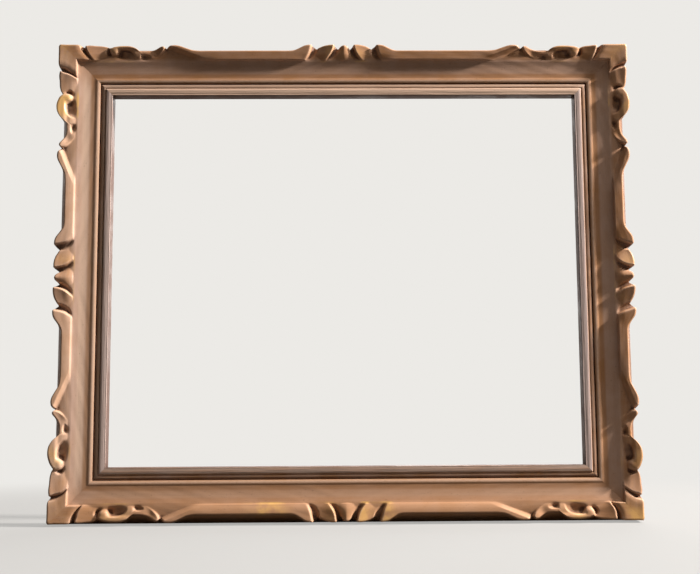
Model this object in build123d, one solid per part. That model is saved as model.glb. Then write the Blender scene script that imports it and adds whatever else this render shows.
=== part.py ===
from build123d import *
import math
import os

# A carved picture frame: mitred rails, an inner liner, and the hardware on its back.
# Millimetres. X runs across, Z up, the front faces -Y and the wall plane is Y = 0.
# The origin is on the wall plane, at the middle of the opening.

# Picture and opening
picture_width = 508.0
picture_height = 406.4
picture_overlap = 6.35
picture_play = 0.8

# Rail section: insets run inward from the outer side, heights forward from the wall plane
rail_width = 45.5
side_height = 31.7
front_bulge = 1.7
crest_inset = 20.3
crest_height = 31.9
step_width = 1.2
step_drop = 1.3
cove_sag = 0.4
ridge_inset = 32.4
ridge_height = 28.2
hollow_sag = 0.5
bead_width = 5.0
bead_rise = 0.8
bead_start_height = 27.6
bead_end_height = 26.9
rail_rabbet_width = 5.5
rail_rabbet_height = 22.0
corner_round = 3.0

# Liner section
liner_face_width = 13.35
liner_gap = 0.5
quirk_width = 1.6
strip_width = 4.2
strip_height = 27.9
lip_step = 0.5
lip_bulge = 0.3
lip_corner_height = 27.6
lip_corner_width = 1.0
sight_lean = 0.9
rabbet_height = 13.0

# Carving: lengths along a rail, from the outer corner towards the middle
corner_block = 26.5
gap_width = 3.2
leaf_length = 17.5
leaf_tip = 4.0
eye_width = 4.0
scroll_length = 33.5
saddle_length = 24.0
tip_gap = 3.5
nose_length = 7.5
nose_taper = 25.0
facet_length = 34.0

# Carving: the motif at the middle of each rail
tongue_half = 4.5
lobe_length = 22.0
middle_nose = 8.0
middle_taper = 16.0

# Carving: widths and depths on the front
edge_setback = 10.6
edge_foot_height = 7.0
ground_sink = 3.4
ground_inner_sink = 1.9
ground_bulge = 0.4
ground_edge = 23.3
fan_shift = 6.5
fan_bow = 1.2
scroll_edge = 1.6
scroll_band = 6.0
bulb_radius = 4.8
bulb_inset = 10.0
tail_width = 1.8
tip_inset = 2.4
saddle_band = 3.4
lobe_edge = 3.2
saddle_dip = 0.4
fan_drop = 2.8

# Corner splines
spline_length = 26.0
spline_width = 16.0
spline_thickness = 3.0
spline_inset = 20.0
spline_height = 10.0

# Liner brads
brad_diameter = 1.4
brad_head_diameter = 2.4
brad_head_height = 0.8
brad_length = 22.0
brad_height = 6.5
brad_spacing = 150.0
brad_clearance = 0.05

# Screws
screw_diameter = 3.0
screw_length = 12.0
screw_point = 3.0
screw_head_diameter = 6.4
screw_head_height = 1.9
screw_head_round = 0.8
screw_slot_width = 0.9
screw_slot_depth = 0.9
pilot_clearance = 0.05

# Turn buttons
button_thickness = 1.5
button_width = 9.0
button_reach = 19.5
button_inset = 34.0
button_spacing = 300.0
button_back_gap = 0.3
button_head_gap = 0.2
button_hole_clearance = 0.1

# Strap hangers and their rings
hanger_inset = 20.0
hanger_above_middle = 85.0
strap_width = 9.0
strap_thickness = 1.6
strap_length = 27.0
strap_screw_drop = 20.0
strap_hole_clearance = 0.3
eye_wall = 0.9
ring_wire = 2.4
ring_inner_width = 12.4
ring_side = 4.5
ring_bend = 2.2
ring_eye_clearance = 0.1
ring_strap_gap = 0.4

# Sizes that follow from those above
sight_width = picture_width - 2 * picture_overlap
sight_height = picture_height - 2 * picture_overlap
moulding_width = rail_width + liner_face_width
frame_width = sight_width + 2 * moulding_width
frame_height = sight_height + 2 * moulding_width
rabbet_wall_inset = rail_width - rail_rabbet_width
liner_outer_inset = rabbet_wall_inset + liner_gap
liner_rabbet_inset = moulding_width - picture_overlap - picture_play
scroll_start = corner_block + gap_width + leaf_length + eye_width
scroll_end = scroll_start + scroll_length
saddle_end = scroll_end + saddle_length
nose_start = saddle_end + tip_gap
eye_offset = strap_thickness + ring_strap_gap + ring_wire / 2
eye_hole = ring_wire / 2 + ring_eye_clearance
overrun = 4.0
above_crest = crest_height + front_bulge + overrun


# Section helpers

def bow(start, end, rise):
    """Arc from start to end that stands rise to the left of its chord."""
    chord = math.dist(start, end)
    middle_x = (start[0] + end[0]) / 2 - (end[1] - start[1]) / chord * rise
    middle_y = (start[1] + end[1]) / 2 + (end[0] - start[0]) / chord * rise
    return ThreePointArc(start, (middle_x, middle_y), end)


def front_circle():
    """Centre inset, centre height and radius of the convex front of a rail."""
    chord = math.hypot(crest_inset, crest_height - side_height)
    radius = chord ** 2 / (8 * front_bulge) + front_bulge / 2
    reach = (radius - front_bulge) / chord
    centre_inset = crest_inset / 2 + (crest_height - side_height) * reach
    centre_height = (crest_height + side_height) / 2 - crest_inset * reach
    return centre_inset, centre_height, radius


def front_height(inset):
    """Height of the convex front, uncarved, at an inset from the outer side."""
    centre_inset, centre_height, radius = front_circle()
    return centre_height + math.sqrt(radius ** 2 - (inset - centre_inset) ** 2)


def rail_section(outer_edges):
    """Rail section: the edges from the back corner to the cove, then the cove and bead."""
    ridge = (ridge_inset, ridge_height)
    bead_start = (rail_width - bead_width, bead_start_height)
    bead_end = (rail_width, bead_end_height)
    lip_back = (rail_width, rail_rabbet_height)
    rabbet_corner = (rabbet_wall_inset, rail_rabbet_height)
    inner_edges = [
        bow(ridge, bead_start, -hollow_sag),
        bow(bead_start, bead_end, bead_rise),
        Polyline(bead_end, lip_back, rabbet_corner, (rabbet_wall_inset, 0), (0, 0)),
    ]
    return make_face(Curve() + outer_edges + inner_edges)


def cove_from_crest():
    """Small step down from the crest, then the shallow cove to the ridge."""
    crest = (crest_inset, crest_height)
    cove_start = (crest_inset + step_width, crest_height - step_drop)
    return [Line(crest, cove_start), bow(cove_start, (ridge_inset, ridge_height), -cove_sag)]


def full_section():
    """Section at the raised carving: the convex front reaches the outer side."""
    edge = (0, side_height)
    front = bow(edge, (crest_inset, crest_height), front_bulge)
    return rail_section([Line((0, 0), edge), front, *cove_from_crest()])


def plain_section():
    """Section between the ornaments: the front edge is set back on a slope."""
    slope = Polyline((0, 0), (0, edge_foot_height), (edge_setback, front_height(edge_setback)))
    middle = (edge_setback + crest_inset) / 2
    front = ThreePointArc(slope @ 1, (middle, front_height(middle)), (crest_inset, crest_height))
    return rail_section([slope, front, *cove_from_crest()])


def ground_cut():
    """Region above the sunk ground of the carving, in the section plane."""
    edge = (edge_setback, front_height(edge_setback) - ground_sink)
    inner = (ground_edge, crest_height - ground_inner_sink)
    outside = (-overrun, edge[1] - (edge_setback + overrun))
    top = Polyline(inner, (ground_edge, above_crest), (-overrun, above_crest), outside, edge)
    return make_face(Curve() + [bow(edge, inner, ground_bulge), top])


def liner_section():
    strip_start = rail_width + quirk_width
    lip_start = strip_start + strip_width
    lip_foot = (lip_start + lip_step / 2, strip_height + lip_step)
    lip_top = (moulding_width - sight_lean - lip_corner_width, strip_height + lip_step)
    lip_corner = (moulding_width - sight_lean, lip_corner_height)
    outline = [
        Polyline(
            (liner_rabbet_inset, rabbet_height),
            (liner_rabbet_inset, 0),
            (liner_outer_inset, 0),
            (liner_outer_inset, rail_rabbet_height),
            (strip_start, rail_rabbet_height),
            (strip_start, strip_height),
            (lip_start - lip_step / 2, strip_height),
            (lip_start, strip_height - lip_step),
            lip_foot,
        ),
        bow(lip_foot, lip_top, lip_bulge),
        Polyline(
            lip_top,
            lip_corner,
            (moulding_width, rabbet_height),
            (liner_rabbet_inset, rabbet_height),
        ),
    ]
    return make_face(Curve() + outline)


def mitred_bar(section, length, across, first_inset, last_inset):
    """Bar along X with the section (inset along Y, height along Z), mitred at both ends."""
    half = length / 2
    plan = Polygon(
        (first_inset - half, first_inset),
        (half - first_inset, first_inset),
        (half - last_inset, last_inset),
        (last_inset - half, last_inset),
        align=None,
    )
    plan = plan & Pos(0, across / 2) * RectangleRounded(length, across, corner_round)
    bar = extrude(Plane.YZ * section, amount=half, both=True)
    return bar & extrude(plan, amount=above_crest)


# Carving: plan outlines, with X along a rail from its left corner and Y inward

def filled(*edges):
    return make_face(Curve() + list(edges))


def fan_edge(along, shift):
    """Edge of a leaf or lobe, from beyond the outer side to the ground's inner edge."""
    return bow((along, -overrun), (along + shift, ground_edge), math.copysign(fan_bow, shift))


def corner_block_plan():
    edge = fan_edge(corner_block, fan_shift)
    return filled(edge, Polyline(edge @ 1, (ground_edge, ground_edge), (-overrun, -overrun), edge @ 0))


def leaf_plan():
    first = fan_edge(corner_block + gap_width, fan_shift)
    last = corner_block + gap_width + leaf_length
    tip = (last + leaf_tip, bulb_inset)
    foot = (last, ground_edge)
    shoulder = bow((last, scroll_edge), tip, -fan_bow)
    under = bow(tip, foot, -fan_bow)
    outside = Polyline((last, scroll_edge), (last, -overrun), first @ 0)
    return filled(first, Line(first @ 1, foot), under, shoulder, outside)


def scroll_plan():
    """C-scroll: a bulb, a band along the outer edge and a tail that runs in to the crest."""
    middle = (scroll_start + scroll_end) / 2
    bulb_left = (scroll_start, bulb_inset)
    bulb_foot = (scroll_start + bulb_radius, bulb_inset + bulb_radius)
    neck = (scroll_start + 2 * bulb_radius, bulb_inset)
    top = (middle, scroll_edge)
    shoulder = (scroll_end, bulb_inset + scroll_band / 2)
    tail = (scroll_end - scroll_band / 2, ground_edge)
    tail_inner = (tail[0] - tail_width, ground_edge)
    inner_shoulder = (scroll_end - scroll_band, shoulder[1])
    inner_top = (middle, scroll_edge + scroll_band)
    return filled(
        bow(bulb_left, top, -scroll_band / 2),
        bow(top, shoulder, -scroll_band / 2),
        bow(shoulder, tail, -fan_bow / 2),
        Line(tail, tail_inner),
        bow(tail_inner, inner_shoulder, fan_bow / 2),
        bow(inner_shoulder, inner_top, scroll_band / 3),
        Line(inner_top, neck),
        ThreePointArc(neck, bulb_foot, bulb_left),
    )


def saddle_plan():
    """S-shaped leaf: a low saddle behind the scroll that rises to a rounded tip."""
    root = (scroll_end - scroll_band, edge_setback)
    root_inner = (root[0], edge_setback + saddle_band)
    dip = (scroll_end + saddle_length * saddle_dip, edge_setback)
    tip = (saddle_end, tip_inset)
    tip_end = (saddle_end + tip_gap / 2, tip_inset + saddle_band)
    foot = (dip[0], ground_edge)
    hollow = (dip[0], edge_setback + saddle_band)
    return filled(
        Spline(root, dip, tip),
        bow(tip, tip_end, -tip_gap / 4),
        bow(tip_end, foot, -saddle_band),
        bow(foot, hollow, -saddle_band),
        Polyline(hollow, root_inner, root),
    )


def nose_plan(start, length, taper):
    """Flared end of a plain stretch, which reaches the outer side and tapers back."""
    peak = (start + length, 0)
    end = (start + length + taper, edge_setback)
    corner = (start, lobe_edge)
    return filled(
        bow(corner, peak, -fan_bow),
        Spline(peak, end, tangents=((1, 0), (1, 0))),
        Polyline(end, (end[0], crest_inset), (start, crest_inset), corner),
    )


def lobe_plan(start):
    """Lobe beside the middle, whose outer edge rises towards the middle."""
    end = start + lobe_length
    first = (start - fan_shift, ground_edge)
    last = (end - fan_shift, ground_edge)
    return filled(
        bow(first, (start, lobe_edge), fan_bow),
        bow((start, lobe_edge), (end, 0), -fan_bow),
        bow((end, 0), last, -fan_bow),
        Line(last, first),
    )


def tongue_plan(middle):
    """Small flared tongue at the middle of a rail."""
    top_left = (middle - tongue_half, lobe_edge)
    top_right = (middle + tongue_half, lobe_edge)
    foot_left = (middle - tongue_half - fan_shift, ground_edge)
    foot_right = (middle + tongue_half + fan_shift, ground_edge)
    return filled(
        bow(top_left, top_right, -lobe_edge / 2),
        bow(top_right, foot_right, fan_bow),
        Line(foot_right, foot_left),
        bow(foot_left, top_left, fan_bow),
    )


def plain_plan(plain_end):
    """Plain stretch, from the slanting facet beside the S-leaf to the middle motif."""
    inner = rail_width + overrun
    return filled(
        Polyline(
            (nose_start, -overrun),
            (nose_start, bulb_inset),
            (nose_start + facet_length, ground_edge),
            (nose_start + facet_length, inner),
            (plain_end - fan_shift, inner),
            (plain_end - fan_shift, ground_edge),
        ),
        bow((plain_end - fan_shift, ground_edge), (plain_end, -overrun), fan_bow),
        Line((plain_end, -overrun), (nose_start, -overrun)),
    )


def both_halves(shape, length):
    """A plan or piece drawn from the left corner, moved to the rail's middle and mirrored there."""
    left = Pos(-length / 2, 0) * shape
    return left + mirror(left, about=Plane.YZ)


def tilted_piece(plan, high, low):
    """Leaf or lobe with this plan, whose front falls from one place along the rail to another."""
    tilt = math.degrees(math.atan2(fan_drop, low - high))
    if low < high:
        tilt -= 180
    bar = extrude(Plane.YZ * full_section(), amount=2 * abs(low - high), both=True)
    tipped = Pos(high, 0, crest_height) * Rot(0, tilt, 0) * Pos(0, 0, -crest_height) * bar
    return tipped & extrude(plan, amount=above_crest)


def carved_rail(length, across):
    middle = length / 2
    leaf_start = corner_block + gap_width
    lobe_end = middle - tongue_half - gap_width
    lobe_start = lobe_end - lobe_length
    plain_end = lobe_start - gap_width
    nose = nose_plan(nose_start, nose_length, nose_taper)
    middle_nose_plan = mirror(nose_plan(-plain_end, middle_nose, middle_taper), about=Plane.YZ)
    half_plan = corner_block_plan() + scroll_plan() + saddle_plan() + tongue_plan(middle)
    half_plan += nose + middle_nose_plan
    raised_plan = both_halves(half_plan, length)
    flat_plan = both_halves(plain_plan(plain_end), length)
    leaf = tilted_piece(leaf_plan(), leaf_start, leaf_start + leaf_length)
    lobe = tilted_piece(lobe_plan(lobe_start), lobe_end, lobe_start)

    full_bar = mitred_bar(full_section(), length, across, 0, rail_width)
    plain_bar = mitred_bar(plain_section(), length, across, 0, rail_width)
    ground_bar = plain_bar - extrude(Plane.YZ * ground_cut(), amount=middle, both=True)
    raised = full_bar & extrude(raised_plan, amount=above_crest)
    flats = plain_bar & extrude(flat_plan, amount=above_crest)
    return ground_bar + flats + raised + both_halves(leaf, length) + both_halves(lobe, length)


def liner_strip(length, across):
    return mitred_bar(liner_section(), length, across, liner_outer_inset, moulding_width)


# Places of the four sides: X along the side, Y inward, Z forward

def side_planes():
    forward = (0, -1, 0)
    half_width = frame_width / 2
    half_height = frame_height / 2
    return {
        "top": Plane((0, 0, half_height), x_dir=(-1, 0, 0), z_dir=forward),
        "bottom": Plane((0, 0, -half_height), x_dir=(1, 0, 0), z_dir=forward),
        "left": Plane((-half_width, 0, 0), x_dir=(0, 0, -1), z_dir=forward),
        "right": Plane((half_width, 0, 0), x_dir=(0, 0, 1), z_dir=forward),
    }


# Fasteners

def corner_spline(side_x, side_z):
    """Thin hardwood spline across one mitre, parallel to the back."""
    reach_x = side_x * (frame_width / 2 - spline_inset)
    reach_z = side_z * (frame_height / 2 - spline_inset)
    lean = 45 if side_x * side_z > 0 else -45
    spline = Box(spline_length, spline_thickness, spline_width)
    return Pos(reach_x, -spline_height, reach_z) * Rot(0, -lean, 0) * spline


def brad(clearance):
    """Brad along +Y from its head, with a clearance added all round."""
    from_head = (Align.CENTER, Align.CENTER, Align.MIN)
    shank = Cylinder(brad_diameter / 2 + clearance, brad_length, align=from_head)
    head = Cylinder(brad_head_diameter / 2 + clearance, brad_head_height, align=from_head)
    return Rot(90, 0, 0) * (shank + head)


def brads_on(plane, clearance):
    """The two brads of one side, driven outward from the liner rabbet."""
    return [
        plane * Pos(along, liner_rabbet_inset, brad_height) * brad(clearance)
        for along in (-brad_spacing / 2, brad_spacing / 2)
    ]


def screw(grip):
    """Slotted pan-head screw along +Y, with the underside of its head at Y = grip."""
    shank_radius = screw_diameter / 2
    head_radius = screw_head_diameter / 2
    top = grip + screw_head_height
    outline = [
        Polyline(
            (0, top),
            (0, -screw_length),
            (shank_radius, screw_point - screw_length),
            (shank_radius, grip),
            (head_radius, grip),
        ),
        bow((head_radius, grip), (0, top), -screw_head_round),
    ]
    body = revolve(make_face(Curve() + outline), axis=Axis.Y)
    slot = Box(screw_head_diameter, 2 * screw_slot_depth, screw_slot_width)
    return body - Pos(0, top, 0) * slot


def pilot_hole():
    """Hole for a screw in the back of a rail."""
    hole = Cylinder(screw_diameter / 2 + pilot_clearance, 2 * screw_length)
    return Rot(90, 0, 0) * hole


# Hardware

def turn_button():
    """Flat steel button that hangs down from its pivot at the origin."""
    hole_radius = screw_diameter / 2 + button_hole_clearance
    outline = Pos(button_reach / 2, 0) * SlotCenterToCenter(button_reach, button_width)
    outline -= Circle(hole_radius)
    plate = extrude(outline, amount=button_thickness)
    upright = Plane((0, button_back_gap, 0), x_dir=(0, 0, -1), z_dir=(0, 1, 0))
    return upright * plate


def strap_hanger():
    """Steel strap with a rolled eye; the eye's axis is X at Z = 0."""
    side = Plane.YZ
    eye = Pos(eye_offset, 0) * Circle(eye_hole + eye_wall)
    leaf = Pos(0, -strap_length) * Rectangle(strap_thickness, strap_length, align=Align.MIN)
    neck = Rectangle(eye_offset, eye_hole + eye_wall, align=(Align.MIN, Align.MAX))
    profile = eye + leaf + neck - Pos(eye_offset, 0) * Circle(eye_hole)
    strap = extrude(side * profile, amount=strap_width / 2, both=True)
    hole_radius = screw_diameter / 2 + strap_hole_clearance
    hole = Pos(0, 0, -strap_screw_drop) * Rot(90, 0, 0) * Cylinder(hole_radius, 4 * strap_thickness)
    return strap - hole


def d_ring():
    """Bent wire ring that hangs down from the eye."""
    half = (ring_inner_width + ring_wire) / 2
    path = Wire([
        Line((ring_bend - half, 0, 0), (half - ring_bend, 0, 0)),
        ThreePointArc(
            (half - ring_bend, 0, 0),
            (half - ring_bend * (1 - math.sqrt(0.5)), 0, -ring_bend * (1 - math.sqrt(0.5))),
            (half, 0, -ring_bend),
        ),
        Line((half, 0, -ring_bend), (half, 0, -ring_bend - ring_side)),
        ThreePointArc(
            (half, 0, -ring_bend - ring_side),
            (0, 0, -ring_bend - ring_side - half),
            (-half, 0, -ring_bend - ring_side),
        ),
        Line((-half, 0, -ring_bend - ring_side), (-half, 0, -ring_bend)),
        ThreePointArc(
            (-half, 0, -ring_bend),
            (-half + ring_bend * (1 - math.sqrt(0.5)), 0, -ring_bend * (1 - math.sqrt(0.5))),
            (ring_bend - half, 0, 0),
        ),
    ])
    section = Plane(path @ 0, z_dir=path % 0) * Circle(ring_wire / 2)
    return Pos(0, eye_offset, 0) * sweep(section, path=path)


# Assembly

def frame_nodes():
    planes = side_planes()
    spans = {
        "top": (frame_width, frame_height),
        "bottom": (frame_width, frame_height),
        "left": (frame_height, frame_width),
        "right": (frame_height, frame_width),
    }
    splines = {
        "top_left_spline": corner_spline(-1, 1),
        "top_right_spline": corner_spline(1, 1),
        "bottom_left_spline": corner_spline(-1, -1),
        "bottom_right_spline": corner_spline(1, -1),
    }
    nodes = dict(splines)

    button_x = frame_width / 2 - button_inset
    pivots = {
        f"turn_button_{level}_{hand}": Pos(side_x * button_x, 0, side_z * button_spacing / 2)
        for level, side_z in (("upper", 1), ("lower", -1))
        for hand, side_x in (("left", -1), ("right", 1))
    }
    eyes = {
        hand: Pos(side_x * (frame_width / 2 - hanger_inset), 0, hanger_above_middle)
        for hand, side_x in (("left", -1), ("right", 1))
    }
    screw_drop = Pos(0, 0, -strap_screw_drop)
    pilots = [pivot * pilot_hole() for pivot in pivots.values()]
    pilots += [eye * screw_drop * pilot_hole() for eye in eyes.values()]

    rail_shapes = {
        (frame_width, frame_height): carved_rail(frame_width, frame_height),
        (frame_height, frame_width): carved_rail(frame_height, frame_width),
    }
    for side, plane in planes.items():
        holes = brads_on(plane, brad_clearance)
        rail = plane * rail_shapes[spans[side]]
        for cut in list(splines.values()) + holes + pilots:
            rail = rail - cut
        nodes[f"{side}_rail"] = rail
        strip = plane * liner_strip(*spans[side])
        for hole in holes:
            strip = strip - hole
        nodes[f"liner_{side}"] = strip

    brads = [piece for plane in planes.values() for piece in brads_on(plane, 0)]
    nodes["liner_brads"] = Compound(children=brads)
    for name, pivot in pivots.items():
        nodes[name] = pivot * turn_button()
    button_grip = button_back_gap + button_thickness + button_head_gap
    button_screws = [pivot * screw(button_grip) for pivot in pivots.values()]
    nodes["turn_button_screws"] = Compound(children=button_screws)
    for hand, eye in eyes.items():
        nodes[f"{hand}_hanger"] = eye * strap_hanger()
        nodes[f"{hand}_ring"] = eye * d_ring()
    hanger_screws = [eye * screw_drop * screw(strap_thickness) for eye in eyes.values()]
    nodes["hanger_screws"] = Compound(children=hanger_screws)
    return nodes


os.makedirs("parts", exist_ok=True)
for node_name, node_shape in frame_nodes().items():
    node_shape.label = node_name
    export_step(node_shape, f"parts/{node_name}.step")
print(f"frame {frame_width:.1f} x {frame_height:.1f}, sight opening {sight_width:.1f} x {sight_height:.1f}")
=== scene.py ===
import math
import bpy
import numpy as np
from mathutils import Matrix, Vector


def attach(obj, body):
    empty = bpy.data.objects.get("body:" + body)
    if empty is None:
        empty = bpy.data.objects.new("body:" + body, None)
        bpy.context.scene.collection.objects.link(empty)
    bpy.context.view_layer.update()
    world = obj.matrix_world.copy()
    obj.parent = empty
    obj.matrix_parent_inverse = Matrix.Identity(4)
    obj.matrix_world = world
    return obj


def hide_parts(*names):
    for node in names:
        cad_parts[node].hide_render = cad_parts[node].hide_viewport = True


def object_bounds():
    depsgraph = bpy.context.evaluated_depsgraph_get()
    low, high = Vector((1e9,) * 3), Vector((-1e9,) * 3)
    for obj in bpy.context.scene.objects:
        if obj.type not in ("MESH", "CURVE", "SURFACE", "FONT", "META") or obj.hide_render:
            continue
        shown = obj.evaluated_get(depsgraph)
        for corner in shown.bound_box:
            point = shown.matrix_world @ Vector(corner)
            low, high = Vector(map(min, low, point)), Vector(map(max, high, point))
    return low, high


# A carved and bronzed picture frame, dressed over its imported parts.
# Lengths are millimetres until a mesh is made; the objects, lamps and camera are in metres.
# A ramp is given as its start and length, a bell as its middle and spread.

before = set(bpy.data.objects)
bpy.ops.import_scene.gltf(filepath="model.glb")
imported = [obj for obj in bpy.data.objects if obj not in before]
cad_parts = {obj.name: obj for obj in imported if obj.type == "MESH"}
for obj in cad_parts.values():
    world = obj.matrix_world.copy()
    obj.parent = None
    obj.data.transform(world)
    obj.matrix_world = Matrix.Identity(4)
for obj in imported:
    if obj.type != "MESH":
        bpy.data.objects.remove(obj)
cad_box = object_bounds()
METRE = 1000.0
TINY = 1e-9
FAR_AWAY = 1e9

# Rail section: insets run inward from the outer side, heights forward from the wall plane
FRAME_WIDTH = 613.0
FRAME_HEIGHT = 511.4
RAIL_WIDTH = 45.5
FOOT_HEIGHT = 7.0
FRONT_SLOPE = 0.1
EDGE_ROUND = 1.9
CREST = (20.3, 32.6)
CREST_STEP = 2.0
STEP_RAMP = (CREST[0], 1.4)
COVE_SAG = 0.4
RIDGE = (32.4, 28.2)
HOLLOW_SAG = 0.15
BEAD_START = (40.5, 27.9)
BEAD_END = (45.5, 27.6)
BEAD_RISE = 0.5
BEAD_DROP = 1.4
RABBET_INSET = 40.0
RABBET_HEIGHT = 22.0
CORNER_ROUND = 3.0
BLOCK_BLEND = 8.0
SETBACK = 10.6
CARVED_INSET = {"top": 3.8, "bottom": 2.0, "left": 0.7, "right": 1.0}
FOOT_INSET = {"top": 2.2, "bottom": 0.4, "left": 2.4, "right": 2.4}
FOOT_RAMP = (6.0, 30.0)
BEVEL = 0.5

# Liner section
LINER_OUTER = 40.5
LINER_RABBET = 51.7
LINER_RABBET_HEIGHT = 13.0
STRIP = (47.1, 51.3, 27.6)
GROOVE_FILL = 0.9
GROOVE_DEPTH = 1.7
ARRIS = 0.35
LIP_STEP = 0.5
LIP_BULGE = 0.3
LIP_CORNER = (58.5, 27.6)
LIP_ROUND = 0.8
LIP_SHOULDER = (0.25, 0.6)
LIP_LEAN = 0.05
SIGHT = 58.85
SIGHT_LEAN = 0.03
LINER_WAVE = 0.12
LINER_WAVE_PACE = 1.3
LINER_STEADY = (0.0, 60.0)

# Sides: the middle of the outer edge, the direction along the rail and the direction inward
SIDES = {
    "top": ((0, 0, FRAME_HEIGHT / 2), (-1, 0, 0), (0, 0, -1)),
    "bottom": ((0, 0, -FRAME_HEIGHT / 2), (1, 0, 0), (0, 0, 1)),
    "left": ((-FRAME_WIDTH / 2, 0, 0), (0, 0, -1), (1, 0, 0)),
    "right": ((FRAME_WIDTH / 2, 0, 0), (0, 0, 1), (-1, 0, 0)),
}
FORWARD = np.array((0.0, -1.0, 0.0))
UPRIGHT = ("left", "right")
# The sides that a rail meets at its start and its end
ENDS = {
    "top": ("right", "left"), "bottom": ("left", "right"),
    "left": ("top", "bottom"), "right": ("bottom", "top"),
}
SPANS = {"top": FRAME_WIDTH, "bottom": FRAME_WIDTH, "left": FRAME_HEIGHT, "right": FRAME_HEIGHT}

# Mesh: zones with close columns, numbers of rows, the sharp angle in degrees, and the blur
CORNER_ZONE = 154.0
MIDDLE_ZONE = 60.0
FINE_STEP = 0.7
PLAIN_STEP = 6.0
HALVINGS = 20
SIDE_ROWS = 8
FRONT_ROWS = 29
STEP_ROWS = 8
COVE_ROWS = 9
HOLLOW_ROWS = 9
BEAD_ROWS = 10
LIP_ROWS = 8
SIGHT_ROWS = 2
LINER_COLUMNS = 61
SHARP_ANGLE = 62
NEIGHBOURS = 4
OWN_SHARE = 0.6

# Hand work: slow waves that move the motifs and ripple the surface, and their seeds
LONG_WAVE = 41.0
LONG_PHASE = 2.3
SHORT_WAVE = 17.0
SHORT_PHASE = 4.1
SHORT_SHARE = 0.6
SHIFT = 0.9
SHIFT_SLANT = 4
DRIFT = 0.35
DRIFT_SEED = 3
RIPPLE = 0.07
RIPPLE_PACE = 4
RIPPLE_SLANT = 13
RIPPLE_SEED = 5
STEADY_CORNER = 4
STEADY_RUN = 22
CARVED_ROUNDS = 2
BEAD_MARGIN = 2
HALF_SEED = 1.7
RAIL_SEED = (1.0, 2.6)
LINER_SEED = (0.4, 1.9)

# Carving: the sunk ground and the crest rolled down to it
GROUND_SINK = 3.4
GROUND_EDGE = 23.3
GROUND_OVERLAP = 0.5
GROUND_BULGE = 0.4
GROUND_FALL = 0.25
ROLL_START = 13.0
# How far the crest is rolled down along the whole of a side
ROLLED = {"top": 0.0, "bottom": 1.0, "left": 0.45, "right": 0.0}
# Ramps by distance from the corner
PAST_BLOCK = (26, 16)
PAST_CORNER = (135, 40)
RUN_OUT = (140, 24)
RUN_OUT_SHARE = 0.8
# Ramps and the reach of the fan by distance from the middle of a rail
PAST_FAN = (36, 20)
FAN_CLEAR = (50, 10)
MIDDLE_REACH = 66.0

# The outer edge along half a rail, as distance from the corner and how far in it lies,
# from 0 where the carving reaches furthest out to PLAIN_EDGE on the plain stretch
PLAIN_EDGE = 8.3
CORNER_EDGE = [
    (0, 0.0), (8, 0.3), (16, 0.3), (22.5, 0.5), (24.6, 1.0), (27, 2.0), (29.3, 1.5), (31.5, 1.1), (39, 1.4),
    (46, 2.0), (50, 3.2), (53, 4.8), (54.6, 4.4), (57, 3.4), (61, 2.6), (70, 2.0), (77, 2.6), (82.5, 5.0),
    (86.5, 8.3), (91, 8.5), (97, 8.3), (103, 6.8), (107, 4.6), (110.3, 2.7), (112.5, 2.5), (114.2, 3.6),
    (115.4, 4.9), (116.6, 3.4), (119.5, 1.8), (124, 1.0), (129, 1.6), (136, 4.3), (143, 7.2), (150, 8.2),
    (160, 8.3),
]
# How much further out the scrolls of the upright rails reach, and where
SCROLL_OUT = 2.6
SCROLL_BELL = (68, 14)
# The outer edge about the middle of a rail, as distance from the middle and inset
MIDDLE_EDGE = [
    (0, 1.2), (2.6, 1.9), (4.6, 3.6), (6.6, 5.0), (8.2, 2.6), (9.8, 0.9), (13, 0.3), (18, 0.6), (23, 1.9),
    (27.2, 3.9), (29.6, 4.7), (31.4, 2.6), (33.4, 1.0), (37.5, 0.5), (42.5, 1.6), (48, 4.8), (53, 7.4),
    (58, 8.3), (66, 8.3),
]
# The rims of the gap beside the corner block, as inset and distance from the corner
BLOCK_RIM = [(-3, 24.2), (5, 24.6), (10, 25.9), (15, 28.6), (19, 31.8), (24, 37.4)]
LEAF_RIM = [(-3, 28.6), (5, 28.9), (10, 29.8), (15, 32.2), (19, 35.1), (24, 40.6)]
# Outlines in plan, as distance from the corner and inset
LEAF = [
    (28, -6), (48, -6), (50.2, 1.0), (52.6, 6.8), (49.8, 9.6), (48.4, 13.0), (49.6, 16.4), (53.5, 18.6),
    (60, 19.4), (66, 21.0), (70, 24.5), (40, 25.5), (35, 19), (31.6, 13), (29.6, 6),
]
SCROLL = [
    (52.6, 11.0), (53.2, 7.0), (55.6, 3.4), (60, -1), (70, -3), (79, -1), (85.5, 3.0), (88.6, 9.0),
    (89.0, 13.5), (87.8, 18.5), (85.4, 24.0), (81.4, 24.0), (81.6, 19.0), (80.8, 14.6), (77.8, 11.4),
    (73.5, 9.8), (68.5, 9.2), (64.6, 9.6), (62.8, 12.0), (60.6, 15.0), (57.4, 15.8), (54.4, 14.4),
]
SADDLE = [
    (84, 4), (93, 4.4), (100, 4.6), (106, 1.6), (111, -2), (114.0, 0.5), (114.9, 5.0), (113.6, 9.4),
    (110.8, 12.8), (106.5, 16.4), (101, 20.0), (96, 24.2), (94.2, 23.6), (96.8, 20.6), (98.8, 18.2),
    (98.6, 15.8), (95.0, 14.6), (90, 14.8), (86, 16.8),
]
PLAIN = [
    (115.5, -6), (260, -8), (420, -8), (420, 34), (260, 34), (172, 30), (158, 24.6), (151, 21.6),
    (140, 17.2), (127, 12.4), (119, 9.6), (116.0, 8.2), (115.3, 4),
]
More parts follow.
